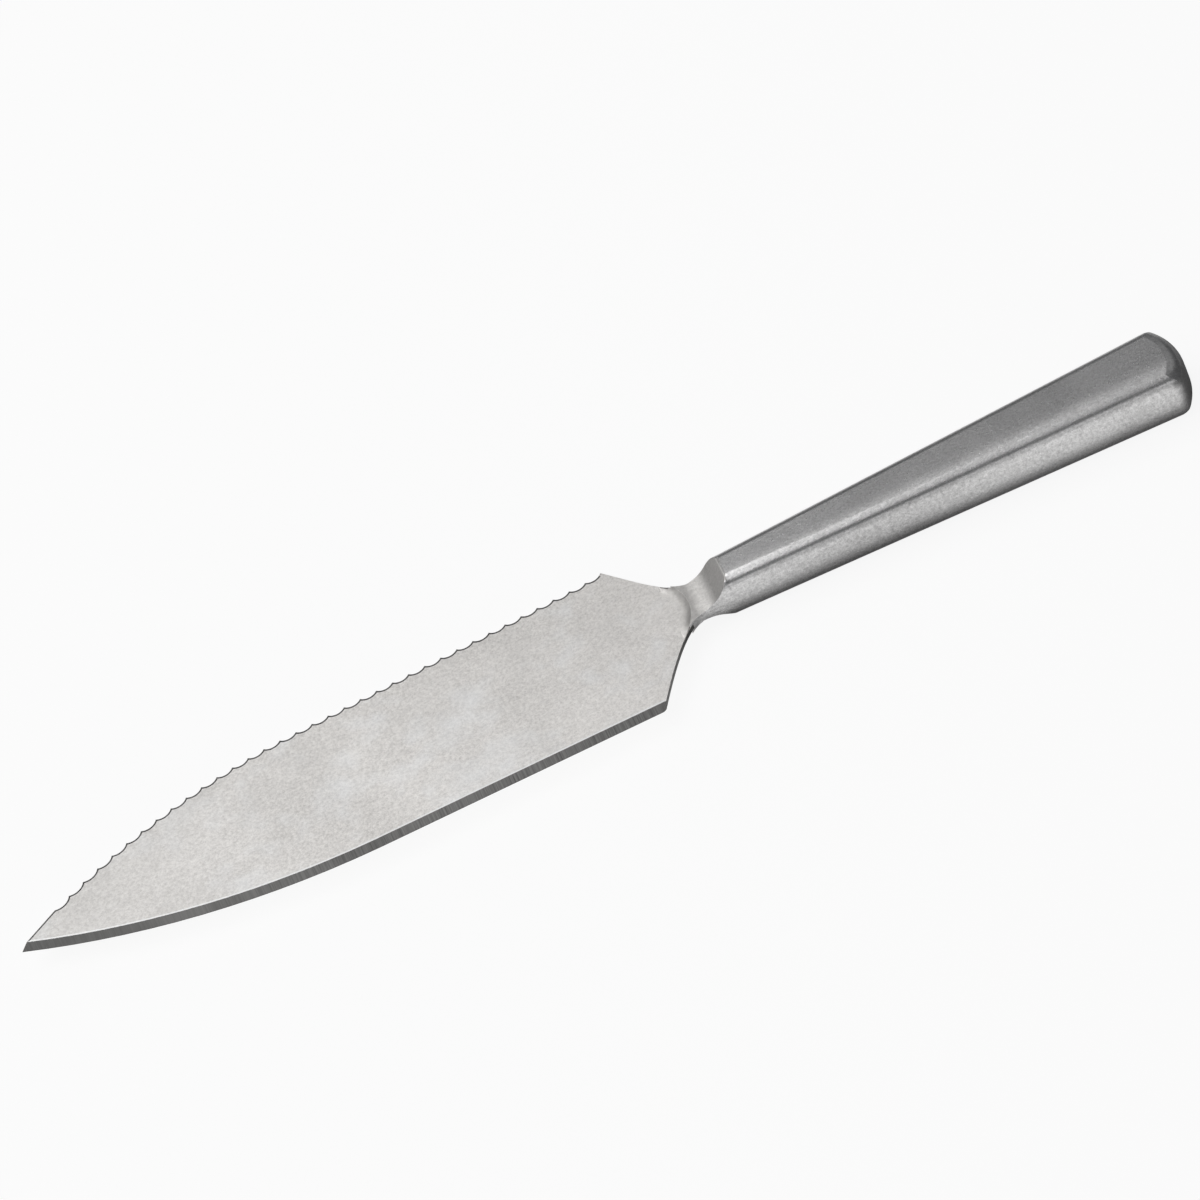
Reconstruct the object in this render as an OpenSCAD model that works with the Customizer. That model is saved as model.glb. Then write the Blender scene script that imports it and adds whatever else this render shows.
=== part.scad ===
// Cake knife: a scalloped sheet blade, a two-cheek bolster and a hollow handle of two pressed shells.
// Millimetres. The knife lies along X with the tip towards -X and the butt towards +X.
// +Y is the scalloped side, -Y the plain ground edge and +Z the upper face.
// The origin is the middle of the flat underside of the handle.

/* [Blade] */
// Blade length from the heel to the tip
blade_len = 150; // [140:1:162]
// Sheet thickness of the blade and its tang
blade_t = 1.2; // [1:0.1:1.6]
// Distance of the scalloped edge from the handle axis at the heel
scallop_side = 19.8; // [17:0.1:22]
// Distance of the plain edge from the handle axis
plain_side = 25.6; // [23:0.2:28]
// How far the tip lies to the plain side of the handle axis
tip_offset = 7.5; // [5:0.1:9]
// Straight part of the plain edge in front of the heel
plain_straight = 69; // [60:1:76]
// Straight part of the scalloped edge in front of the heel
scallop_straight = 78; // [70:1:84]
// Slope of the straight scalloped edge towards the tip, in degrees
scallop_slope = 2.5; // [1.5:0.1:3.5]
// Width of the ground bevel along the plain edge
bevel_w = 1.7; // [1.2:0.1:2.4]
// Thickness left at the ground edge
edge_land = 0.15; // [0.1:0.05:0.3]

/* [Scallops] */
// Distance from one point to the next along the knife
scallop_pitch = 4; // [3.2:0.1:5]
// Depth of one scallop below its two points
scallop_depth = 0.9; // [0.5:0.1:1.2]
// Plain length kept at the tip
scallop_end = 10; // [8:1:14]
// How far the last point lies to the plain side of the handle axis
scallop_end_offset = 1.3; // [0.5:0.1:2.5]
// How far the point at the heel stands above the others
heel_point = 0.6; // [0.2:0.1:1]
// Radius of the heel corner on the plain side
heel_r = 1.4; // [0.8:0.1:2]

/* [Neck] */
// Distance from the heel to the mouth of the handle
neck_len = 24.7; // [22:0.1:30]
// Distance of the narrowest place in front of the mouth
waist_back = 8; // [7.4:0.1:8.6]
// Slope of the shoulder at the heel on the scalloped side, in degrees
shoulder_angle = 49.5; // [46:0.5:54]
// Slope of the shoulder at the heel on the plain side, in degrees
plain_shoulder_angle = 60.5; // [57:0.5:64]
// How far the shoulder on the scalloped side keeps its slope
shoulder_pull = 9.2; // [7:0.1:11]
// How far the shoulder on the plain side keeps its slope
plain_shoulder_pull = 10.9; // [9:0.1:13]
// How early both shoulders turn into the waist
waist_pull = 4.6; // [3.6:0.1:5.4]
// Length of the bolster in front of the mouth
bolster_len = 11.6; // [11.2:0.1:12.6]
// How far the front edge of each lip bows towards the handle
nose_bow = 1.6; // [0.8:0.1:1.8]
// Height of the bolster lips above each face of the blade
lip_h = 0.55; // [0.4:0.05:0.8]
// Slope of the bolster ramps, in degrees
ramp_angle = 45; // [44:1:50]
// Radius of the rounding where each ramp meets the handle
ramp_top_r = 1.4; // [0.8:0.1:1.5]
// Radius of the hollow at the foot of each ramp
ramp_r = 8.5; // [5:0.5:9.5]
// Length of the braze fillet in front of each lip
braze_len = 2.6; // [1.8:0.1:3.2]

/* [Handle] */
// Handle length from the mouth to the butt
handle_len = 110.8; // [95:0.2:125]
// Handle width at the mouth
front_w = 10.9; // [10.2:0.1:12]
// Handle width at the butt, before its corners round over
butt_w = 19.5; // [17:0.1:20.4]
// Handle thickness at the mouth
front_h = 11.5; // [10.9:0.1:12.2]
// Handle thickness at the butt
butt_h = 12.6; // [12.3:0.1:13.6]
// Height of the seam between the two shells above the underside
seam_h = 5.8; // [5.4:0.1:6.4]
// Radius of the long edges
edge_r = 3; // [2.4:0.1:3.6]
// Radius of the rim round the butt end
butt_rim_r = 3.8; // [3.2:0.1:5]
// Radius of the butt corners seen from above
butt_corner_r = 4; // [3.8:0.1:4.7]
// Radius of the convex butt end seen from above
butt_end_r = 16; // [13:0.5:19]
// Height of the blade's mid plane above the underside of the handle
blade_h = 4.8; // [4.5:0.1:5.3]
// Wall thickness of the pressed shells
wall = 1.3; // [0.9:0.1:1.5]
// Thickness of the weld bead between the two shells
seam_t = 0.6; // [0.4:0.1:1]
// Width of the solder ring between bolster and shells
ring_w = 0.7; // [0.4:0.1:1]

/* [Tang] */
// Length of the tang behind the mouth of the handle
tang_len = 58; // [40:1:75]
// Width of the tang
tang_w = 7.2; // [5.5:0.1:7.6]
// Diameter of the two keying holes in the tang
key_hole_d = 3.2; // [2:0.1:4]
// Length of the bolster spigot inside the shells
spigot_len = 6; // [4:0.5:9]
// Clearance of the spigot and of the cement to the shells
fit_gap = 0.05; // [0.03:0.01:0.1]
// Distance of the cement's end from the butt
cement_end = 12; // [11:1:30]

/* [Hidden] */
$fn = 96;

// Stations along the knife
x_mouth = -handle_len/2;
x_butt = handle_len/2;
x_heel = x_mouth - neck_len;
x_tip = x_heel - blade_len;
x_nose = x_mouth - bolster_len;
x_waist = x_mouth - waist_back;
x_shoulder = x_mouth - ring_w/2;
x_shell = x_mouth + ring_w/2;
x_spigot = x_mouth + spigot_len;
x_tang = x_mouth + tang_len;

// Heights
z_blade = blade_h - blade_t/2;
top_slope = atan((butt_h - front_h)/handle_len);
low_half = seam_h + 3;
high_half = front_h - seam_h + 3;

// Taper of the handle and the rounding circles of its butt
taper = (butt_w - front_w)/2/handle_len;
taper_angle = atan(taper);
x_end = x_butt - butt_end_r;
corner_line = front_w/2 + taper*(x_end - x_mouth) - butt_corner_r/cos(taper_angle);
corner_run = (-corner_line*taper + sqrt(pow(corner_line*taper, 2)
  - (1 + taper*taper)*(pow(corner_line, 2) - pow(butt_end_r - butt_corner_r, 2))))/(1 + taper*taper);
x_corner = x_end + corner_run;
y_corner = corner_line + taper*corner_run;

// Half width of the handle and of the neck that carries its taper forward
function half_w(x) = front_w/2 + taper*(x - x_mouth);

// The scalloped edge: a straight run from the heel, one arc and a plain straight run to the tip
run_end = [x_heel - scallop_straight, scallop_side - scallop_straight*tan(scallop_slope)];
tip = [x_tip, -tip_offset];
arc_end = [x_tip + scallop_end, -scallop_end_offset];
inward = [sin(scallop_slope), -cos(scallop_slope)];
scallop_arc_r = (arc_end - run_end)*(arc_end - run_end)/(2*((arc_end - run_end)*inward));
scallop_arc_c = run_end + scallop_arc_r*inward;
function scallop_y(x) = x > run_end[0]
  ? scallop_side + (x - x_heel)*tan(scallop_slope)
  : x < arc_end[0]
  ? tip[1] + (x - x_tip)*(arc_end[1] - tip[1])/scallop_end
  : scallop_arc_c[1] + sqrt(pow(scallop_arc_r, 2) - pow(x - scallop_arc_c[0], 2));
scallop_count = floor((blade_len - scallop_end)/scallop_pitch);
function point(i) = let (x = x_heel - i*scallop_pitch) [x, scallop_y(x) + (i == 0 ? heel_point : 0)];

// The plain edge: a straight run from the heel, then one arc that ends in the tip
edge_turn = 0.6;
edge_start = [x_heel - plain_straight, -plain_side];
edge_in = [sin(edge_turn), cos(edge_turn)];
edge_arc_r = (tip - edge_start)*(tip - edge_start)/(2*((tip - edge_start)*edge_in));
edge_arc_c = edge_start + edge_arc_r*edge_in;

// The shoulders: one smooth curve from each heel corner to the waist
shoulder_steps = 14;
heel_top = point(0);
heel_low = [x_heel, -plain_side];
function curve(c, t) = pow(1 - t, 3)*c[0] + 3*t*pow(1 - t, 2)*c[1] + 3*t*t*(1 - t)*c[2] + pow(t, 3)*c[3];
function shoulder(heel, side, angle, pull) = let (
    waist = [x_waist, side*half_w(x_waist)],
    c = [heel, heel + pull*[cos(angle), -side*sin(angle)],
      waist - waist_pull*[cos(taper_angle), side*sin(taper_angle)], waist]
  ) [for (i = [0 : shoulder_steps]) curve(c, i/shoulder_steps)];
shoulder_top = shoulder(heel_top, 1, shoulder_angle, shoulder_pull);
shoulder_low = shoulder(heel_low, -1, plain_shoulder_angle, plain_shoulder_pull);

// The bowed front edge of the bolster lips
nose_r = (36 + nose_bow*nose_bow)/(2*nose_bow);
nose_c = [x_nose + nose_bow - nose_r, 0];

// One rounded rim of the handle, from the middle outwards, set in by d
module rim(radius, d, full_half, full_r = edge_r) {
  r = full_r - d;
  half_h = full_half - d;
  difference() {
    translate([0, -half_h]) square([radius - d, 2*half_h]);
    for (side = [-1, 1]) difference() {
      translate([radius - d - r, side > 0 ? half_h - r : -half_h - 1]) square([r + 1, r + 1]);
      translate([radius - d - r, side*(half_h - r)]) circle(r);
    }
  }
}

// A wide slab whose rounded rim follows one tapered side of the handle
module side_prism(side, d, x0, x1, half_h) {
  mirror([0, side > 0 ? 0 : 1, 0])
    translate([x_mouth, half_w(x_mouth), 0]) rotate([0, 0, taper_angle])
    translate([x1 - x_mouth + 5, -40, 0]) rotate([90, 0, -90]) mirror([1, 0, 0])
    linear_extrude(x1 - x0 + 10) rim(40, d, half_h);
}

// What rounds one butt corner of a handle slab that is set in by d
module butt_corner(side, d, half_h) {
  sweep = atan2(y_corner, corner_run);
  side_way = [-sin(taper_angle), cos(taper_angle)];
  end_way = [cos(sweep), sin(sweep)];
  middle = (side_way + end_way)/norm(side_way + end_way);
  mirror([0, side > 0 ? 0 : 1, 0]) translate([x_corner, y_corner, 0]) difference() {
    translate([0, 0, -25]) linear_extrude(50)
      polygon([-0.1*middle, 12*side_way - 0.1*middle, 22*middle, 12*end_way - 0.1*middle]);
    rotate_extrude() rim(butt_corner_r + 0.01, d, half_h + 0.01);
  }
}

// A handle slab with all its edges rounded, set in by d, from station x0 to the butt
module slab(d, x0, half_h) {
  difference() {
    intersection() {
      side_prism(1, d, x0, x_butt, half_h);
      side_prism(-1, d, x0, x_butt, half_h);
      union() {
        band(x0, x_end + 1, -20, 20);
        translate([x_end, 0, 0]) rotate_extrude() rim(butt_end_r, d, half_h + 0.01, butt_rim_r);
      }
    }
    for (side = [-1, 1]) butt_corner(side, d, half_h);
  }
}

// The straight part of a handle slab, carried on to any two stations
module straight_slab(d, x0, x1, half_h) {
  intersection() {
    side_prism(1, d, x0, x1, half_h);
    side_prism(-1, d, x0, x1, half_h);
    translate([x0, -30, -20]) cube([x1 - x0, 60, 40]);
  }
}

// The handle section at the mouth, carried on to any two stations
module front_form(d, x0, x1) {
  translate([0, 0, front_h/2]) straight_slab(d, x0, x1, front_h/2);
}

// Sets a slab on the underside of the handle, for the lower shell
module on_underside() {
  translate([0, 0, low_half]) children();
}

// Hangs a slab under the sloping top of the handle, for the upper shell
module under_top() {
  translate([x_mouth, 0, seam_h]) rotate([0, -top_slope, 0])
    translate([-x_mouth, 0, front_h - seam_h - high_half]) children();
}

// A box over the whole width, between two stations and two heights
module band(x0, x1, z0, z1) {
  translate([x0, -40, z0]) cube([x1 - x0, 80, z1 - z0]);
}

// One scallop, through two neighbouring points
module scallop(i) {
  a = point(i);
  b = point(i + 1);
  half = norm(a - b)/2;
  r = (half*half + scallop_depth*scallop_depth)/(2*scallop_depth);
  along = (a - b)/(2*half);
  translate((a + b)/2 + (r - scallop_depth)*[-along[1], along[0]]) circle(r);
}

// What rounds the heel corner on the plain side
module heel_corner() {
  along = [cos(plain_shoulder_angle), sin(plain_shoulder_angle)];
  edge_side = [0, 1];
  neck_side = [-along[1], along[0]];
  to_centre = (edge_side + neck_side)/(1 + edge_side*neck_side);
  centre = heel_low + heel_r*to_centre;
  reach = heel_r + 6;
  difference() {
    polygon([centre, centre - reach*edge_side, centre - reach*to_centre, centre - reach*neck_side]);
    translate(centre) circle(heel_r + 0.01);
  }
}

// Blade, neck and tang seen from above, with room outside the ground edge
module blade_plan() {
  x_last = x_heel - scallop_count*scallop_pitch;
  spare = [-cos(shoulder_angle), sin(shoulder_angle)];
  spare_low = [-cos(plain_shoulder_angle), -sin(plain_shoulder_angle)];
  spigot_inset = (wall + fit_gap)/cos(taper_angle);
  steps = 6;
  difference() {
    polygon(concat(
      [for (i = [0 : steps]) let (x = x_tip - 2 + i*(x_last + 0.6 - x_tip + 2)/steps) [x, scallop_y(x)]],
      [for (i = [scallop_count - 1 : -1 : 1]) point(i) + [0, 0.8]],
      [heel_top + 0.6*spare],
      [for (i = [1 : shoulder_steps]) shoulder_top[i]],
      [[x_shoulder, half_w(x_shoulder)], [x_shoulder, half_w(x_shoulder) - spigot_inset],
        [x_spigot, half_w(x_spigot) - spigot_inset], [x_spigot, tang_w/2], [x_tang, tang_w/2],
        [x_tang, -tang_w/2], [x_spigot, -tang_w/2], [x_spigot, spigot_inset - half_w(x_spigot)],
        [x_shoulder, spigot_inset - half_w(x_shoulder)], [x_shoulder, -half_w(x_shoulder)]],
      [for (i = [shoulder_steps : -1 : 1]) shoulder_low[i]],
      [heel_low + 3*spare_low, [x_tip - 2, heel_low[1] + 3*spare_low[1]]]));
    for (i = [0 : scallop_count - 1]) scallop(i);
    for (f = [0.45, 0.8]) translate([x_mouth + f*tang_len, 0]) circle(d = key_hole_d);
    heel_corner();
  }
}

// What the grinder takes off along the plain edge, seen along the edge
module grind_profile(start) {
  slope = bevel_w/(blade_t - edge_land);
  polygon([
    [start, -1],
    [start, edge_land],
    [start - bevel_w - slope, blade_t + 1],
    [start + 30, blade_t + 1],
    [start + 30, -1]]);
}

// Flat scalloped blade with its ground edge, its neck and its tang
module blade() {
  color([0.78, 0.77, 0.75]) translate([0, 0, z_blade]) difference() {
    linear_extrude(blade_t) blade_plan();
    translate([edge_start[0] - 20, 0, 0]) rotate([90, 0, 90]) linear_extrude(plain_straight + 30)
      mirror([1, 0, 0]) grind_profile(plain_side);
    translate([edge_arc_c[0], edge_arc_c[1], 0]) rotate([0, 0, 232]) rotate_extrude(angle = 38)
      grind_profile(edge_arc_r);
  }
}

// What rounds the edge between a ramp and the handle, seen from the side and from that edge
module ramp_corner() {
  reach = ramp_top_r*tan(ramp_angle/2);
  centre = [reach, -ramp_top_r];
  difference() {
    polygon([
      centre,
      centre + 3*ramp_top_r*[-sin(ramp_angle), cos(ramp_angle)],
      centre + 3*ramp_top_r*[-sin(ramp_angle/2), cos(ramp_angle/2)],
      centre + [0, 3*ramp_top_r]]);
    translate(centre) circle(ramp_top_r + 0.005);
  }
}

// Side view of one bolster cheek above its face of the blade, for a given full height
module cheek_profile(rise) {
  foot = x_shoulder - 0.1 - (rise - lip_h)/tan(ramp_angle);
  reach = ramp_r*tan(ramp_angle/2);
  up = [cos(ramp_angle), sin(ramp_angle)];
  difference() {
    translate([x_nose - 1, 0]) square([x_spigot + 2 - x_nose, rise + 1]);
    polygon([
      [x_nose - 2, lip_h],
      [foot - reach, lip_h],
      [foot, lip_h] + reach*up,
      [foot, lip_h] + (rise + 3)/sin(ramp_angle)*up,
      [x_nose - 2, rise + 3 + lip_h]]);
    translate([foot - reach, lip_h + ramp_r]) circle(ramp_r + 0.01);
    translate([x_shoulder - 0.1, rise]) ramp_corner();
  }
}

// The neck seen from above between two stations, set in by d from the shoulders
module neck_plan(x0, x1, d) {
  intersection() {
    translate([x0, -30]) square([x1 - x0, 60]);
    polygon(concat(
      [for (p = shoulder_top) p - [0, d]],
      [for (i = [shoulder_steps : -1 : 0]) shoulder_low[i] + [0, d]]));
  }
}

// One bolster cheek: thin lip, ramp up to the handle and the spigot behind the mouth
module bolster_cheek(up) {
  z_face = up ? z_blade + blade_t : z_blade;
  rise = up ? front_h - z_face : z_face;
  intersection() {
    union() {
      front_form(0, x_waist - 1.6, x_shoulder);
      front_form(wall + fit_gap, x_shoulder - 1, x_spigot);
      translate([0, 0, edge_r + 0.2]) linear_extrude(front_h - 2*edge_r - 0.4) difference() {
        neck_plan(x_nose - 0.5, x_waist - 0.8, 0);
        translate(nose_c) circle(nose_r);
      }
    }
    translate([0, 0, z_face]) mirror([0, 0, up ? 0 : 1]) rotate([90, 0, 0])
      linear_extrude(40, center = true) cheek_profile(rise);
  }
}

// Upper cheek of the bolster
module upper_bolster() {
  color([0.74, 0.73, 0.71]) bolster_cheek(true);
}

// Lower cheek of the bolster
module lower_bolster() {
  color([0.7, 0.69, 0.67]) bolster_cheek(false);
}

// Braze fillets in front of both lips, hollow and thinning out towards the blade
module bolster_braze() {
  steps = 6;
  top = lip_h - 0.05;
  color([0.62, 0.6, 0.56]) for (up = [true, false]) intersection() {
    translate([nose_c[0], 0, up ? z_blade + blade_t : z_blade]) mirror([0, 0, up ? 0 : 1])
      rotate_extrude() polygon(concat(
        [[nose_r, 0]],
        [for (i = [steps : -1 : 0]) [nose_r - braze_len*(1 - i/steps), top*pow(i/steps, 2)]]));
    translate([0, 0, -1]) linear_extrude(front_h + 2) neck_plan(x_nose - 3, x_nose + nose_bow + 1, 0.2);
  }
}

// Solder ring that closes the joint between bolster and shells
module mouth_solder() {
  color([0.6, 0.6, 0.62]) difference() {
    front_form(0, x_shoulder, x_shell);
    front_form(wall, x_shoulder - 1, x_shell + 1);
    for (up = [true, false]) translate([x_shoulder - 0.1, 0, up ? front_h : 0]) mirror([0, 0, up ? 0 : 1])
      rotate([90, 0, 0]) linear_extrude(40, center = true) ramp_corner();
  }
}

// Upper pressed shell of the handle
module upper_handle_shell() {
  color([0.56, 0.55, 0.54]) intersection() {
    under_top() difference() {
      slab(0, x_shell - 2, high_half);
      slab(wall, x_shell - 3, high_half);
    }
    band(x_shell, x_butt + 1, seam_h + seam_t/2, butt_h + 2);
  }
}

// Lower pressed shell of the handle
module lower_handle_shell() {
  color([0.5, 0.49, 0.48]) intersection() {
    on_underside() difference() {
      slab(0, x_shell - 2, low_half);
      slab(wall, x_shell - 3, low_half);
    }
    band(x_shell, x_butt + 1, -1, seam_h - seam_t/2);
  }
}

// Weld bead along both sides of the handle and round the butt
module handle_seam_weld() {
  color([0.6, 0.59, 0.58]) intersection() {
    on_underside() difference() {
      slab(0, x_shell - 2, low_half);
      slab(wall, x_shell - 3, low_half);
    }
    band(x_shell, x_butt + 1, seam_h - seam_t/2, seam_h + seam_t/2);
  }
}

// Cement that holds the tang inside the hollow handle
module tang_cement() {
  x1 = x_butt - cement_end;
  color([0.82, 0.78, 0.68]) difference() {
    union() {
      intersection() {
        on_underside() straight_slab(wall + fit_gap, x_spigot, x1, low_half);
        band(x_spigot, x1, 0, seam_h + 0.5);
      }
      intersection() {
        under_top() straight_slab(wall + fit_gap + 0.1, x_spigot - 2, x1 + 2, high_half);
        band(x_spigot, x1, seam_h - 1, butt_h + 2);
      }
    }
    translate([0, 0, z_blade]) linear_extrude(blade_t) difference() {
      translate([x_spigot - 1, -tang_w/2]) square([x_tang - x_spigot + 1, tang_w]);
      for (f = [0.45, 0.8]) translate([x_mouth + f*tang_len, 0]) circle(d = key_hole_d);
    }
  }
}

blade();
upper_bolster();
lower_bolster();
bolster_braze();
mouth_solder();
upper_handle_shell();
lower_handle_shell();
handle_seam_weld();
tang_cement();
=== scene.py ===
# %% [markdown]
# # A cake knife in satin steel
#
# This lesson dresses a finished construction model of a cake knife. The model comes in as plain solids: a
# blade, two bolster cheeks, two handle shells, and the braze, solder, weld and cement that join them. The
# steps below mix the finishes, soften the edges that a polisher softens, and light the knife in a small
# studio. The knife lies along x, with its butt towards positive x and its scallops towards positive y. The
# origin is the middle of the handle's flat underside.

# %% Open the construction model
import math
import bmesh
import bpy
from mathutils import Matrix, Vector


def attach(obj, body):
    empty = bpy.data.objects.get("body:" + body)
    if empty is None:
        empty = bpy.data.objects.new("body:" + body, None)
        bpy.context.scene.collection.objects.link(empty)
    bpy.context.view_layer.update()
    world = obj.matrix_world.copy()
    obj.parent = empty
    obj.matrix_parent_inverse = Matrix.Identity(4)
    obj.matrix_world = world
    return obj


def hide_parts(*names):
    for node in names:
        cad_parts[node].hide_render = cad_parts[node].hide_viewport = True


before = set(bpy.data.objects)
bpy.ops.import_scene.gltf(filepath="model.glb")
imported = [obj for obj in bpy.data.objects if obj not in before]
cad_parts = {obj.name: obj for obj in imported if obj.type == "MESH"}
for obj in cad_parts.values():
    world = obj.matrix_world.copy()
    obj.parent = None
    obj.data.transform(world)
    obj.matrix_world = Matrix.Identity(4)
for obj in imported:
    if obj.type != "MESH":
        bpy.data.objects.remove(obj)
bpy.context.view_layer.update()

MM = 0.001
print("solids:", ", ".join(sorted(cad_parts)))

# %% [markdown]
# ## A short way to write shader nodes
#
# Each finish below is a small web of nodes. It could be wired by hand in the shader editor, but a few
# helpers keep it readable as text. One adds a node and sets or links its inputs, one starts a material, and
# the rest wrap the nodes that come up again and again. All patterns read object coordinates, so they stay
# in place on the steel and need no unwrapping.

# %% Helpers that add nodes
def add_node(tree, kind, inputs=None, **settings):
    """Adds a node. An input given as a socket is linked, and any other is set as a value."""
    made = tree.nodes.new(kind)
    for key, value in settings.items():
        setattr(made, key, value)
    for key, value in (inputs or {}).items():
        if isinstance(value, bpy.types.NodeSocket):
            tree.links.new(value, made.inputs[key])
        else:
            made.inputs[key].default_value = value
    return made


def start_finish(name, metallic):
    """A new material, with its tree, its Principled shader and its object coordinates."""
    finish = bpy.data.materials.new(name)
    finish.use_nodes = True
    tree = finish.node_tree
    shader = tree.nodes["Principled BSDF"]
    shader.inputs["Metallic"].default_value = metallic
    place = add_node(tree, "ShaderNodeTexCoord").outputs["Object"]
    return finish, tree, shader, place


# %% Helpers for patterns
def noise(tree, place, size_mm, detail=2.0, rough=0.5, stretch=(1, 1, 1), turn=0.0):
    """Cloudy noise with grains of about the given size. Stretch draws the grains out along x, y or z."""
    moved = add_node(tree, "ShaderNodeMapping", {
        "Vector": place,
        "Rotation": (0, 0, math.radians(turn)),
        "Scale": [1 / s for s in stretch],
    })
    made = add_node(tree, "ShaderNodeTexNoise", {
        "Vector": moved.outputs[0],
        "Scale": 1 / (size_mm * MM),
        "Detail": detail,
        "Roughness": rough,
    })
    return made.outputs["Fac"]


def remap(tree, value, low, high, out_low=0.0, out_high=1.0, how="LINEAR"):
    """Stretches the values between low and high to a new range, and holds what lies outside at its ends."""
    made = add_node(tree, "ShaderNodeMapRange", {
        "Value": value,
        "From Min": low,
        "From Max": high,
        "To Min": out_low,
        "To Max": out_high,
    }, interpolation_type=how)
    return made.outputs[0]


def along_and_across(tree, place):
    """The distances along and across the knife, as two sockets."""
    parts = add_node(tree, "ShaderNodeSeparateXYZ", {0: place})
    return parts.outputs[0], parts.outputs[1]


# %% Helpers for sums and blends
def maths(tree, what, a, b):
    return add_node(tree, "ShaderNodeMath", {0: a, 1: b}, operation=what).outputs[0]


def weighted_sum(tree, parts):
    """Adds several values, each with its own weight."""
    total = None
    for value, weight in parts:
        one = maths(tree, "MULTIPLY", value, weight)
        total = one if total is None else maths(tree, "ADD", total, one)
    return total


def blend(tree, amount, a, b):
    """Blends two colours. The Mix node keeps them in its inputs 6 and 7, and their blend in its output 2."""
    made = add_node(tree, "ShaderNodeMix", {0: amount, 6: a, 7: b}, data_type="RGBA")
    return made.outputs[2]


# %% [markdown]
# ## Tumbled steel
#
# The knife looks like steel that was tumbled with stones: its grey is never even. A single noise would look
# like clouds on a screen. Here wide clouds, a mottle and a fine grain lie over each other, each with its own
# weight. The mottle and the grain also drive a small bump, which makes the surface sparkle where the light
# changes. Each piece of the knife then gets its own greys and its own roughness.

# %% Mottled steel for every piece
DENT_DEPTH = 0.03 * MM


def tumbled_steel(name, dark, light, rough, bump, weights=(0.4, 0.3, 0.3), changes=(), crown=None):
    """Mottled steel between two greys. Rough is the lowest and the highest roughness, and weights are those
    of clouds, mottle and grain. Changes are functions that tint some places, and crown is one that bends
    the light over a flat."""
    finish, tree, steel, place = start_finish(name, metallic=1.0)
    clouds = remap(tree, noise(tree, place, size_mm=20, detail=3.0, rough=0.55), low=0.35, high=0.65)
    mottle = remap(tree, noise(tree, place, size_mm=0.8, detail=3.0, rough=0.6), low=0.32, high=0.68)
    grain = remap(tree, noise(tree, place, size_mm=0.34, rough=0.65), low=0.3, high=0.7)
    colour = blend(tree, weighted_sum(tree, zip((clouds, mottle, grain), weights)), dark, light)
    for change in changes:
        colour = change(tree, place, colour)
    tree.links.new(colour, steel.inputs["Base Color"])
    smoothest, roughest = rough
    roughness = remap(tree, mottle, low=0, high=1, out_low=roughest, out_high=smoothest)
    tree.links.new(roughness, steel.inputs["Roughness"])
    height = weighted_sum(tree, [(mottle, 0.5), (grain, 0.5)])
    dents = add_node(tree, "ShaderNodeBump", {"Strength": bump, "Distance": DENT_DEPTH, "Height": height})
    if crown:
        tree.links.new(crown(tree, place), dents.inputs["Normal"])
    tree.links.new(dents.outputs[0], steel.inputs["Normal"])
    return finish


# %% [markdown]
# ## The face of the blade
#
# Use has left its marks on the blade. It has pale patches, it is duller towards the scallops and towards the
# tip, and a few hair scratches run over it. One painted picture could hold all that, but it would have to be
# unwrapped. Instead, each mark is a small function that takes the colour so far and gives it back tinted, so
# marks can be added or left out one by one. The scratches are noise drawn out into long lines.

# %% Marks of use
PALE_STEEL = (0.96, 0.98, 1.0, 1)
DULL_STEEL = (0.5, 0.49, 0.475, 1)
TIP_STEEL = (0.58, 0.572, 0.56, 1)


def pale_patches(tree, place, colour):
    patches = noise(tree, place, size_mm=13, rough=0.6)
    return blend(tree, remap(tree, patches, low=0.52, high=0.72, out_high=0.35), colour, PALE_STEEL)


def duller_towards_scallops(tree, place, colour):
    _, across = along_and_across(tree, place)
    near = remap(tree, across, low=-4 * MM, high=16 * MM)
    patches = noise(tree, place, size_mm=17, rough=0.6)
    spots = remap(tree, patches, low=0.46, high=0.7, out_high=0.35)
    return blend(tree, maths(tree, "MULTIPLY", near, spots), colour, DULL_STEEL)


def greyer_at_tip(tree, place, colour):
    along, _ = along_and_across(tree, place)
    return blend(tree, remap(tree, along, low=-150 * MM, high=-215 * MM, out_high=0.35), colour, TIP_STEEL)


# %% Hair scratches
SCRATCH_TURNS = (12, 48, 81, 117, 156)
SCRATCH_PATCHES_MM = (9, 12, 15, 18, 21)
SCRATCH_STEEL = (0.88, 0.88, 0.87, 1)
SCRATCH_STRENGTH = 0.22


def hair_scratches(tree, place):
    """Faint long scratches in several directions, broken up so that none runs across the whole piece."""
    total = None
    for turn, patch_mm in zip(SCRATCH_TURNS, SCRATCH_PATCHES_MM):
        lines = noise(tree, place, size_mm=0.16, detail=1.0, stretch=(70, 1, 1), turn=turn)
        thin = remap(tree, lines, low=0.66, high=0.74)
        broken = remap(tree, noise(tree, place, size_mm=patch_mm, detail=1.0), low=0.5, high=0.62)
        one = maths(tree, "MULTIPLY", thin, broken)
        total = one if total is None else maths(tree, "MAXIMUM", total, one)
    return total


def scratched(tree, place, colour):
    amount = maths(tree, "MULTIPLY", hair_scratches(tree, place), SCRATCH_STRENGTH)
    return blend(tree, amount, colour, SCRATCH_STEEL)


# %% Blade steel
blade_finish = tumbled_steel(
    "blade steel",
    dark=(0.6, 0.582, 0.562, 1),
    light=(1.0, 0.978, 0.952, 1),
    rough=(0.5, 0.62),
    bump=0.35,
    weights=(0.2, 0.4, 0.4),
    changes=(pale_patches, duller_towards_scallops, greyer_at_tip, scratched))
print("made", blade_finish.name)

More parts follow.
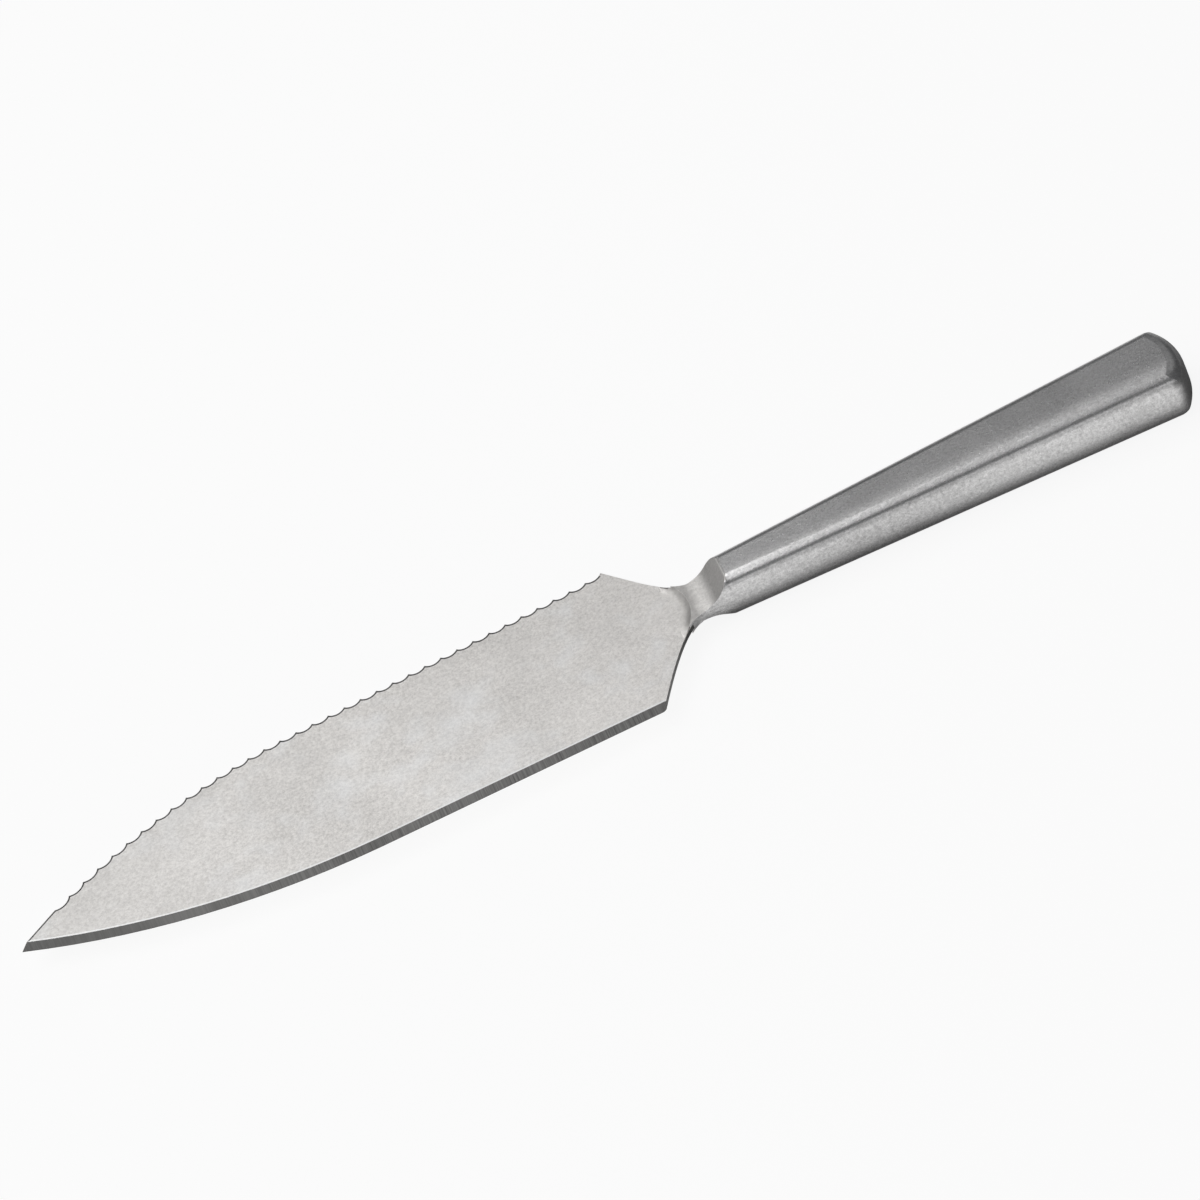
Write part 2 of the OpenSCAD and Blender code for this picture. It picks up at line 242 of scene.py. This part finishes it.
# %% [markdown]
# ## The ground edge and the stamped rim
#
# The plain edge was ground after tumbling. A grinding wheel leaves fine lines across the edge, and the
# edge is given a much darker grey than the tumbled face. Cut grooves would be far too fine for a mesh, so
# noise drawn out across the knife gives the lines. They fade towards the tip. The stamped rim of the sheet
# is rough and dark, so the scallops get a thin dark outline. Along the ground edge runs a thin bright line
# of painted highlight.

# %% Finishes of the ground edge and of the rim
# Greys of the ground edge, much darker than the tumbled face
EDGE_GREY_DARK = (0.085, 0.084, 0.082, 1)
EDGE_GREY_PALE = (0.22, 0.218, 0.213, 1)


def ground_steel():
    finish, tree, steel, place = start_finish("ground edge", metallic=1.0)
    lines = remap(tree, noise(tree, place, size_mm=0.3, rough=0.6, stretch=(1, 40, 40)), low=0.3, high=0.7)
    clouds = remap(tree, noise(tree, place, size_mm=14), low=0.35, high=0.65)
    along, _ = along_and_across(tree, place)
    fade = remap(tree, along, low=-200 * MM, high=-120 * MM, out_low=0.2)
    lines = maths(tree, "MULTIPLY", lines, fade)
    mixed = weighted_sum(tree, [(lines, 0.8), (clouds, 0.2)])
    colour = blend(tree, mixed, EDGE_GREY_DARK, EDGE_GREY_PALE)
    tree.links.new(colour, steel.inputs["Base Color"])
    steel.inputs["Roughness"].default_value = 0.38
    grooves = add_node(tree, "ShaderNodeBump", {"Strength": 0.35, "Distance": DENT_DEPTH, "Height": lines})
    tree.links.new(grooves.outputs[0], steel.inputs["Normal"])
    return finish


ground_finish = ground_steel()
rim_finish = tumbled_steel(
    "stamped rim",
    dark=(0.06, 0.059, 0.058, 1),
    light=(0.18, 0.177, 0.173, 1),
    rough=(0.5, 0.65),
    bump=0.4)
# A thin bright line of painted highlight along the ground edge
painted_highlight_finish = tumbled_steel(
    "painted_highlight",
    dark=(0.84, 0.835, 0.83, 1),
    light=(0.95, 0.95, 0.945, 1),
    rough=(0.5, 0.6),
    bump=0.2)
print("made", ground_finish.name, rim_finish.name, painted_highlight_finish.name)

# %% [markdown]
# ## The handle
#
# The handle is smoother than the blade, so its rounded edges show a clear band of light. The polisher has
# crowned its top on the side of the plain edge, by half a millimetre at most. That hardly shows in the
# outline, but the light rolls over it. A mesh would need many rows of faces for it, and a bump whose height
# falls with the cube of the distance from the middle gives the same light. The end of the butt gets painted
# shade: its steel is darkened beyond a shallow arc.

# %% Handle steel
CROWN_REACH = 10 * MM
CROWN_DEPTH = 1.6 * MM
BUTT_SHADE = (0.12, 0.12, 0.12, 1)
# The painted shade on the end of the butt begins earlier at the sides, by this much times the square of the
# distance from the middle
BUTT_BOW = 8.3


def crown_on_plain_side(tree, place):
    """Bends the light over the half of the top on the plain side, more and more towards its edge."""
    _, across = along_and_across(tree, place)
    out = maths(tree, "MAXIMUM", maths(tree, "MULTIPLY", across, -1 / CROWN_REACH), 0.0)
    fall = maths(tree, "POWER", out, 3.0)
    made = add_node(tree, "ShaderNodeBump", {
        "Strength": 1.0,
        "Distance": CROWN_DEPTH,
        "Height": fall,
    }, invert=True)
    return made.outputs[0]


def painted_shade_at_butt(tree, place, colour):
    """Paints shade on the end of the butt beyond a shallow arc."""
    along, across = along_and_across(tree, place)
    bow = maths(tree, "MULTIPLY", maths(tree, "MULTIPLY", across, across), BUTT_BOW)
    reach = maths(tree, "ADD", along, bow)
    amount = remap(tree, reach, low=51.8 * MM, high=54.8 * MM, out_high=0.55, how="SMOOTHSTEP")
    return blend(tree, amount, colour, BUTT_SHADE)


handle_finish = tumbled_steel(
    "handle steel",
    dark=(0.34, 0.335, 0.335, 1),
    light=(0.84, 0.835, 0.83, 1),
    rough=(0.27, 0.35),
    bump=0.55,
    weights=(0.2, 0.4, 0.4),
    # the butt's tint is painted shade
    changes=(painted_shade_at_butt,),
    crown=crown_on_plain_side)
print("made", handle_finish.name)

# %% [markdown]
# ## The neck and its joints
#
# The bolster lies between blade and handle, and its ramp gets painted shade, a little darker than its lip. A
# ring of dull solder closes the joint at the handle's mouth. The braze in front of the lip has the colour of
# the blade, and a soft dark line of painted shade lies along the lip, in the crease. The lip bows, so the
# line follows the distance from the middle of that bow. A painted stripe would have to be fitted to the bow
# by hand. Cement fills the handle out of sight and gets a sandy finish.

# %% Bolster steel and solder
# Colour of the painted shade on the bolster's ramp
RAMP_SHADE = (0.12, 0.118, 0.115, 1)


def painted_shade_on_ramp(tree, place, colour):
    along, _ = along_and_across(tree, place)
    slope = remap(tree, along, low=-61.5 * MM, high=-58.5 * MM, out_high=0.22, how="SMOOTHSTEP")
    return blend(tree, slope, colour, RAMP_SHADE)


bolster_finish = tumbled_steel(
    "bolster steel",
    dark=(0.41, 0.4, 0.388, 1),
    light=(0.74, 0.723, 0.703, 1),
    rough=(0.42, 0.54),
    bump=0.3,
    changes=(painted_shade_on_ramp,))
solder_finish = tumbled_steel(
    "solder",
    dark=(0.16, 0.158, 0.155, 1),
    light=(0.36, 0.355, 0.35, 1),
    rough=(0.4, 0.5),
    bump=0.4)
print("made", bolster_finish.name, solder_finish.name)

# %% Braze and cement
# Colour of the painted shade along the lip
LIP_SHADE = (0.25, 0.242, 0.234, 1)
LIP_BOW_MIDDLE = Vector((-77.45, 0, 5.8)) * MM
DAMP_SAND = (0.6, 0.56, 0.48, 1)
DRY_SAND = (0.78, 0.74, 0.66, 1)


def painted_shade_at_lip(tree, place, colour):
    """A line of painted shade that grows towards the lip, and only on the handle's side of the fillet."""
    along, _ = along_and_across(tree, place)
    away = add_node(tree, "ShaderNodeVectorMath", {0: place, 1: LIP_BOW_MIDDLE}, operation="DISTANCE")
    line = remap(
        tree, away.outputs["Value"], low=9.2 * MM, high=11.9 * MM, out_high=0.85, how="SMOOTHSTEP")
    start = remap(tree, along, low=-69.5 * MM, high=-67.2 * MM, how="SMOOTHSTEP")
    return blend(tree, maths(tree, "MULTIPLY", line, start), colour, LIP_SHADE)


def set_cement():
    finish, tree, stone, place = start_finish("set cement", metallic=0.0)
    grains = remap(tree, noise(tree, place, size_mm=0.8, detail=4.0, rough=0.6), low=0.3, high=0.7)
    tree.links.new(blend(tree, grains, DAMP_SAND, DRY_SAND), stone.inputs["Base Color"])
    stone.inputs["Roughness"].default_value = 0.9
    return finish


braze_finish = tumbled_steel(
    "braze",
    dark=(0.6, 0.582, 0.562, 1),
    light=(0.96, 0.938, 0.912, 1),
    rough=(0.5, 0.62),
    bump=0.3,
    changes=(painted_shade_at_lip,))
cement_finish = set_cement()
print("made", braze_finish.name, cement_finish.name)

# %% [markdown]
# ## Softening the pieces
#
# Real steel has no razor corners, and a soft corner is what catches the light. Each visible piece is a copy
# of its solid: the loose triangles are merged, flat areas become single faces, and the sharp edges get a
# narrow bevel where the piece has any. A bevel modifier could do this too, but the operator leaves plain
# faces, which can then be painted one by one. Weighted normals keep the flats flat and the rounds round.

# %% A softened copy of a solid
MERGE_DISTANCE = 0.002 * MM
FLAT_ANGLE = math.radians(0.3)
SHARP_ANGLE = math.radians(28)
CREASE_ANGLE = math.radians(40)


def soft_copy(node, name, finishes, bevel_mm=0, segments=0, prepare=None):
    """A merged and softened copy of a solid, which takes its place. Prepare may cut the mesh before that."""
    bm = bmesh.new()
    bm.from_mesh(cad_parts[node].data)
    bmesh.ops.remove_doubles(bm, verts=bm.verts, dist=MERGE_DISTANCE)
    bmesh.ops.dissolve_limit(bm, angle_limit=FLAT_ANGLE, verts=bm.verts, edges=bm.edges)
    if prepare:
        prepare(bm)
    if bevel_mm:
        corners = [e for e in bm.edges if len(e.link_faces) == 2 and e.calc_face_angle() > SHARP_ANGLE]
        bmesh.ops.bevel(
            bm, geom=corners, offset=bevel_mm * MM, offset_type="OFFSET", segments=segments,
            profile=0.5, affect="EDGES", clamp_overlap=True, material=-1)
    mesh = bpy.data.meshes.new(name)
    bm.to_mesh(mesh)
    bm.free()
    for finish in finishes:
        mesh.materials.append(finish)
    mesh.shade_smooth()
    mesh.set_sharp_from_angle(angle=CREASE_ANGLE)
    piece = bpy.data.objects.new(name, mesh)
    bpy.context.scene.collection.objects.link(piece)
    flats = piece.modifiers.new("flat faces stay flat", "WEIGHTED_NORMAL")
    flats.keep_sharp = True
    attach(piece, "root")
    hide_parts(node)
    print(name, len(mesh.polygons), "faces")
    return piece


# %% [markdown]
# ## The blade
#
# The blade is one stamped sheet, and four of its five finishes lie along its outline. The dark rim and the
# bright line of painted highlight are narrower than half a millimetre. A texture would have to follow every
# scallop, so the upper face is inset instead, and the narrow ring that this leaves is painted face by face.
# The sides of the sheet are dark up to the bolster, and there they were polished together with the handle.

# %% Blade
# Finish 0 is the tumbled face, and these are the other four
GROUND, RIM, PAINTED_HIGHLIGHT, POLISHED = range(1, 5)
OUTLINE_WIDTH = 0.42 * MM
# Places: just before the heel, just beside the tip, where the dark sides end, and where the plain side is
HEEL_X = -80.5 * MM
TIP_Y = -6.6 * MM
POLISHED_X = -66.8 * MM
PLAIN_SIDE_Y = -1 * MM
# How far a face looks up, as the height of its normal
NEARLY_UP = 0.99
GROUND_LEAST, GROUND_MOST = 0.4, 0.97
STEEP = 0.5


def outline_ring(bm):
    """Leaves a narrow ring round the upper face: dark on the scalloped side, a painted highlight on the
    plain side.
    """
    top = max((f for f in bm.faces if f.normal.z > NEARLY_UP), key=lambda f: f.calc_area())
    ring = bmesh.ops.inset_region(bm, faces=[top], thickness=OUTLINE_WIDTH, use_even_offset=True)
    for face in ring["faces"]:
        middle = face.calc_center_median()
        if middle.x < HEEL_X:
            face.material_index = RIM if middle.y > TIP_Y else PAINTED_HIGHLIGHT


blade = soft_copy(
    "blade", "blade_piece", [blade_finish, ground_finish, rim_finish, painted_highlight_finish, handle_finish],
    bevel_mm=0.1, segments=2, prepare=outline_ring)
for face in blade.data.polygons:
    leans_out = GROUND_LEAST < face.normal.z < GROUND_MOST and face.normal.y < 0
    if leans_out and face.center.y < PLAIN_SIDE_Y:
        face.material_index = GROUND
    elif abs(face.normal.z) < STEEP:
        face.material_index = RIM if face.center.x < POLISHED_X else POLISHED

# %% [markdown]
# ## The bolster and the handle
#
# The bolster cheeks have the softest edges of the knife, so they get the widest bevel. Their sides were
# polished in one go with the handle and share its steel. The two pressed shells and the weld between them
# are rounded in the solids already, and all three get the same finish, because a polished weld can't be told
# from the sheet.

# %% Bolster and handle
SIDEWAYS = 0.5
HANDLE_SIDE = 1

for node, name in (("upper_bolster", "upper_bolster_piece"), ("lower_bolster", "lower_bolster_piece")):
    cheek = soft_copy(node, name, [bolster_finish, handle_finish], bevel_mm=0.3, segments=3)
    for face in cheek.data.polygons:
        if abs(face.normal.y) > SIDEWAYS:
            face.material_index = HANDLE_SIDE

for node, name in (
        ("upper_handle_shell", "upper_shell_piece"),
        ("lower_handle_shell", "lower_shell_piece"),
        ("handle_seam_weld", "seam_piece")):
    part = soft_copy(node, name, [handle_finish])

# %% [markdown]
# ## The solder ring and the braze
#
# The solder ring was polished with the handle, and only the part of it that faces up and forwards, at the
# top of the ramp, shows dull solder. The braze fillets run out towards the sides of the neck. The solids end
# there in a straight cut. New fillets could be lofted, but for a shape this thin it is enough to lower the
# corners of the copy: their rise over the blade fades with the distance from the middle.

# %% Solder ring
FORWARDS = -0.12
UPWARDS = 0.5
DULL_TOP = 1

ring = soft_copy("mouth_solder", "ring_piece", [handle_finish, solder_finish])
for face in ring.data.polygons:
    if face.normal.x < FORWARDS and face.normal.z > UPWARDS:
        face.material_index = DULL_TOP

# %% Braze
FILLET_HALF_WIDTH = 8.8 * MM
FILLET_RUN_OUT = 3 * MM
LEAST_RISE = 0.04

blade_heights = [corner.co.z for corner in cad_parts["blade"].data.vertices]
blade_middle = (max(blade_heights) + min(blade_heights)) / 2
blade_half = (max(blade_heights) - min(blade_heights)) / 2
braze = soft_copy("bolster_braze", "braze_piece", [braze_finish])
for corner in braze.data.vertices:
    height = corner.co.z - blade_middle
    rise = abs(height) - blade_half
    fade = (FILLET_HALF_WIDTH - abs(corner.co.y)) / FILLET_RUN_OUT
    fade = min(max(fade, LEAST_RISE), 1.0)
    if rise > 0:
        corner.co.z = blade_middle + math.copysign(blade_half + rise * fade, height)

# %% [markdown]
# ## The hidden cement
#
# The cement can't be seen while the handle is closed. Its solid has the right shape already, so it only gets
# its finish and keeps its own mesh.

# %% Hidden cement
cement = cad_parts["tang_cement"]
cement.data.materials.clear()
cement.data.materials.append(cement_finish)
print("cement painted")

# %% [markdown]
# ## The floor
#
# The knife lies on a pale sheet. More light could make that sheet white, but it would burn out the steel.
# So the floor glows by itself, and only for the camera and for mirror images in the steel. To the lamps it
# stays a plain matt floor that takes the knife's shadow. The glow fades behind the knife, and mirror images
# see it shaded beside the handle and beyond the butt, where the knife keeps the light off the sheet. That
# gives the handle its dark lower edge.

# %% Finish of the floor
MATT_PAPER = (0.9, 0.9, 0.9, 1)
PAPER_WHITE = (1, 1, 1, 1)
SHADED_PAPER = (0.09, 0.09, 0.09, 1)
GLOW_FOR_CAMERA = 0.9
MOUTH_WIDTH = 10.9 * MM
BUTT_WIDTH = 19.5 * MM
HANDLE_LENGTH = 110.8 * MM
EDGE_SLOPE = (BUTT_WIDTH - MOUTH_WIDTH) / 2 / HANDLE_LENGTH
EDGE_AT_MIDDLE = (BUTT_WIDTH + MOUTH_WIDTH) / 4


def shade_of_handle(tree, along, across):
    """One on the floor under and beside the handle and beyond its butt, and zero in the open."""
    edge = maths(tree, "ADD", maths(tree, "MULTIPLY", along, EDGE_SLOPE), EDGE_AT_MIDDLE)
    gap = maths(tree, "SUBTRACT", maths(tree, "MULTIPLY", across, -1.0), edge)
    front = remap(tree, gap, low=3.8 * MM, high=5.8 * MM, out_low=1.0, out_high=0.0)
    beside = maths(tree, "MULTIPLY", front, remap(tree, gap, low=-30 * MM, high=-20 * MM))
    beyond = remap(tree, along, low=52 * MM, high=64 * MM)
    return maths(tree, "MAXIMUM", beside, beyond)


def pale_floor():
    finish, tree, paint, place = start_finish("pale floor", metallic=0.0)
    paint.inputs["Base Color"].default_value = MATT_PAPER
    paint.inputs["Roughness"].default_value = 0.9
    paint.inputs["Specular IOR Level"].default_value = 0.0
    ray = add_node(tree, "ShaderNodeLightPath")
    mirrored = ray.outputs["Is Glossy Ray"]
    along, across = along_and_across(tree, place)
    shaded = maths(tree, "MULTIPLY", mirrored, shade_of_handle(tree, along, across))
    glow = add_node(tree, "ShaderNodeEmission", {
        "Color": blend(tree, shaded, PAPER_WHITE, SHADED_PAPER),
        "Strength": 1.0,
    })
    fading = remap(tree, across, low=0.0, high=60 * MM, out_low=0.85, out_high=0.3)
    seen = maths(tree, "MULTIPLY", mirrored, fading)
    share = weighted_sum(tree, [(ray.outputs["Is Camera Ray"], GLOW_FOR_CAMERA), (seen, 1.0)])
    both = add_node(tree, "ShaderNodeMixShader", {0: share, 1: paint.outputs[0], 2: glow.outputs[0]})
    tree.links.new(both.outputs[0], tree.nodes["Material Output"].inputs["Surface"])
    return finish


# %% Floor
FLOOR_HALF = 4.0
FLOOR_DROP = 0.1 * MM

bm = bmesh.new()
bmesh.ops.create_grid(
    bm, x_segments=1, y_segments=1, size=FLOOR_HALF, matrix=Matrix.Translation((0, 0, -FLOOR_DROP)))
floor_mesh = bpy.data.meshes.new("floor")
bm.to_mesh(floor_mesh)
bm.free()
floor_mesh.materials.append(pale_floor())
floor = bpy.data.objects.new("floor", floor_mesh)
bpy.context.scene.collection.objects.link(floor)
print("floor laid,", 2 * FLOOR_HALF, "m wide")

# %% [markdown]
# ## The lamps
#
# One wide softbox above lights the knife at a plain level. Two panels stand further back, a strong one on
# the left and a weak one on the right. The rough blade scatters their light to the camera, and the smoother
# handle hardly does, so the blade comes out paler. A low panel in front lights the near side of the handle.
# The room behind the camera stays dark and draws the dark line along the handle's rounded edge. An even
# white sky would be simpler, but steel shows its shape only where light and dark meet in it.

# %% Lamps and room
PICTURE_MIDDLE = Vector((-82.7, 6.7, 11.5)) * MM
ROOM_GREY = (0.12, 0.122, 0.126, 1)


def soft_box(name, position, size, power):
    """A rectangular lamp that faces the middle of the picture, with its width kept level."""
    data = bpy.data.lights.new(name, "AREA")
    data.shape = "RECTANGLE"
    data.size, data.size_y = size
    data.energy = power
    lamp = bpy.data.objects.new(name, data)
    away = Vector(position) - PICTURE_MIDDLE
    turn = away.to_track_quat("Z", "Y").to_matrix().to_4x4()
    lamp.matrix_world = Matrix.Translation(position) @ turn
    bpy.context.scene.collection.objects.link(lamp)
    print(name, power, "W")


soft_box("wide softbox", position=(-0.5, 0.05, 1.1), size=(1.9, 1.07), power=10.0)
soft_box("left panel", position=(-0.85, 0.72, 1.0), size=(1.1, 1.1), power=3.2)
soft_box("right panel", position=(0.85, 0.72, 1.0), size=(1.1, 1.1), power=0.8)
soft_box("low front panel", position=(-0.1, -1.5, 0.38), size=(2.0, 0.45), power=2.2)
room = bpy.data.worlds.new("grey room")
bpy.context.scene.world = room
room.use_nodes = True
room.node_tree.nodes["Background"].inputs["Color"].default_value = ROOM_GREY

# %% [markdown]
# ## The camera
#
# The photograph looks down at 45 degrees from the side of the plain edge with a long lens, and its frame is
# turned so that the knife rises to the right. A camera could be turned by three angles, but the order of
# such angles is easy to get wrong. Its matrix is written out instead, from the directions that point right
# and up in the picture and back to the camera.

# %% Camera
LOOK_DOWN = math.radians(45)
PICTURE_TURN = math.radians(25.5)
CAMERA_DISTANCE = 1.6
LENS_MM = 218.4

level = Vector((1, 0, 0))
rise = Vector((0, math.sin(LOOK_DOWN), math.cos(LOOK_DOWN)))
back = Vector((0, -math.cos(LOOK_DOWN), math.sin(LOOK_DOWN)))
right = math.cos(PICTURE_TURN) * level - math.sin(PICTURE_TURN) * rise
upward = math.sin(PICTURE_TURN) * level + math.cos(PICTURE_TURN) * rise
spot = PICTURE_MIDDLE + CAMERA_DISTANCE * back
lens = bpy.data.cameras.new("long lens")
lens.lens = LENS_MM
camera = bpy.data.objects.new("camera", lens)
camera.matrix_world = Matrix((
    (right.x, upward.x, back.x, spot.x),
    (right.y, upward.y, back.y, spot.y),
    (right.z, upward.z, back.z, spot.z),
    (0, 0, 0, 1),
))
bpy.context.scene.collection.objects.link(camera)
bpy.context.scene.camera = camera
bpy.context.scene.view_settings.view_transform = "Standard"
print("camera at", [round(v, 3) for v in spot])

# %% [markdown]
# ## The finished scene
#
# A softened copy should fill the same box as its solid.

# %% The finished scene
print("scene built")
